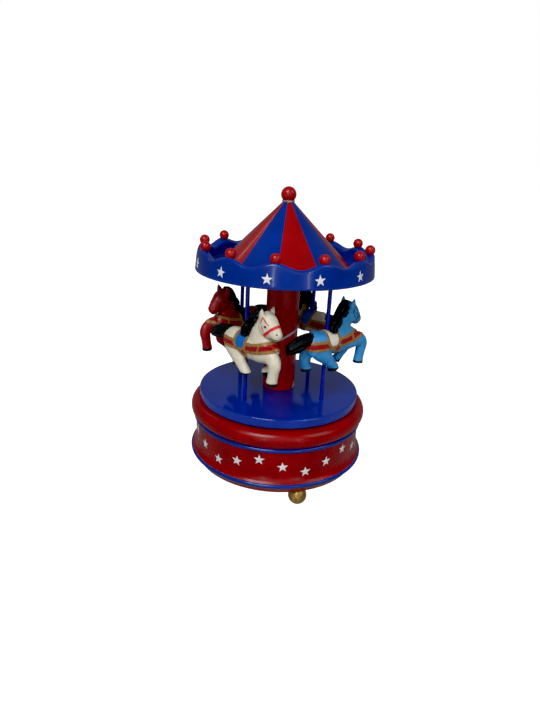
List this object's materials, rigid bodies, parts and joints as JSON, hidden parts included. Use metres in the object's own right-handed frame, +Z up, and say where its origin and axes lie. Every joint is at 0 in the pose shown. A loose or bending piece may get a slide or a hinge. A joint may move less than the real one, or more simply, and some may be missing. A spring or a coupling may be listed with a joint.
{
  "type": "wind-up carousel music box",
  "caption": "Painted wooden wind-up music box shaped as a carousel: round base, turning platform, column, horses on poles, scalloped canopy and striped cone roof.",
  "frame": {"origin": "on the floor, under the carousel's turning axis", "axes": "+Z up along the turning axis; the front, with the one visible foot, is towards -Y"},
  "size_m": [0.1111, 0.111, 0.1773],
  "materials": {
    "red_enamel": "gloss enamel on turned beech",
    "blue_enamel": "gloss enamel on turned beech",
    "gold_paint": "satin gold paint on a turned ball",
    "birch_board": "sanded board",
    "white_resin": "hand-painted cast resin",
    "cream_resin": "hand-painted cast resin",
    "light_blue_resin": "hand-painted cast resin",
    "dark_red_resin": "hand-painted cast resin",
    "elastic": "pale elastic",
    "zinc_steel": "zinc plated",
    "movement_steel": "plated casting",
    "spring_steel": "hardened and ground",
    "brass": "machined",
    "nylon": "moulded"
  },
  "bodies": {
    "base": {"base_shell": "red_enamel", "lower_bead": "blue_enamel", "upper_bead": "blue_enamel", "base_cover": "birch_board", "cover_screws": "zinc_steel", "foot_front": "gold_paint", "foot_right": "gold_paint", "foot_left": "gold_paint", "foot_screws": "zinc_steel", "thrust_washer": "nylon", "bedplate": "movement_steel", "bedplate_screws": "zinc_steel", "spring_housing": "movement_steel", "mainspring": "spring_steel", "comb": "spring_steel", "comb_screws": "zinc_steel", "governor_frame": "brass"},
    "carousel": {"platform": "blue_enamel", "platform_flange": "brass", "flange_screws": "zinc_steel", "column": "red_enamel", "column_band": "elastic", "canopy_ring": "blue_enamel", "edge_balls": "red_enamel", "canopy_board": "blue_enamel", "roof_screw": "zinc_steel", "roof_cone": "red_enamel", "finial_ball": "red_enamel", "pole_white": "blue_enamel", "pole_blue": "blue_enamel", "pole_cream": "blue_enamel", "pole_red": "blue_enamel", "horse_white": "white_resin", "horse_blue": "light_blue_resin", "horse_cream": "cream_resin", "horse_red": "dark_red_resin", "winding_arbor": "spring_steel", "great_wheel": "brass"},
    "cylinder": {"pinned_cylinder": "brass", "cylinder_arbor": "spring_steel", "cylinder_pinion": "brass", "cylinder_wheel": "brass"},
    "governor": {"governor_arbor": "spring_steel", "governor_pinion": "brass", "governor_wheel": "nylon"},
    "fly": {"governor_worm": "spring_steel"}
  },
  "joints": [
    {"name": "carousel_spin", "type": "hinge", "parent": "base", "child": "carousel", "pos_m": [0, 0, 0.0491], "axis": [0, 0, 1], "continuous": true},
    {"name": "cylinder_spin", "type": "hinge", "parent": "base", "child": "cylinder", "pos_m": [0, 0.0264, 0.03203], "axis": [0, -1, 0], "continuous": true},
    {"name": "governor_spin", "type": "hinge", "parent": "base", "child": "governor", "pos_m": [-0.009, 0.0364, 0.03203], "axis": [0, 1, 0], "continuous": true},
    {"name": "fly_spin", "type": "hinge", "parent": "base", "child": "fly", "pos_m": [-0.016, 0.0372, 0.03203], "axis": [0, 0, 1], "continuous": true}
  ],
  "couplings": [
    {"joint": "cylinder_spin", "follows": "carousel_spin", "ratio": 3},
    {"joint": "governor_spin", "follows": "carousel_spin", "ratio": 12},
    {"joint": "fly_spin", "follows": "carousel_spin", "ratio": -432}
  ]
}
